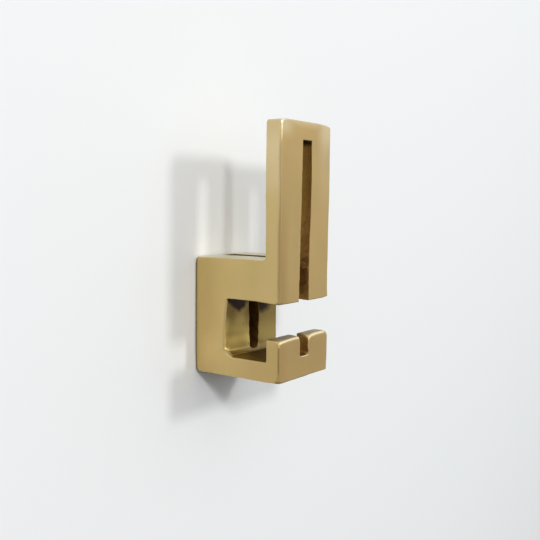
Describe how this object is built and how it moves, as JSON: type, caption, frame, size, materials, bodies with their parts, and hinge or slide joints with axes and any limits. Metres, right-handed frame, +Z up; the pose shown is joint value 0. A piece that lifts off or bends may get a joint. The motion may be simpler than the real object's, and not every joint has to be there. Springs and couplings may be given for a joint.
{
  "type": "double robe hook",
  "caption": "Cast brass double robe hook: a slotted base block on the wall, a tall slotted upper blade and a short notched lower lip.",
  "frame": {"origin": "centre of the face that lies on the wall", "axes": "+Y into the wall, +Z up, +X across the width to the right as seen from in front"},
  "size_m": [0.0456, 0.054, 0.13],
  "materials": {
    "brass": "satin brushed cast brass, worn lighter along the edges and dark in the slots"
  },
  "bodies": {
    "root": {"hook_casting": "brass"}
  },
  "joints": []
}
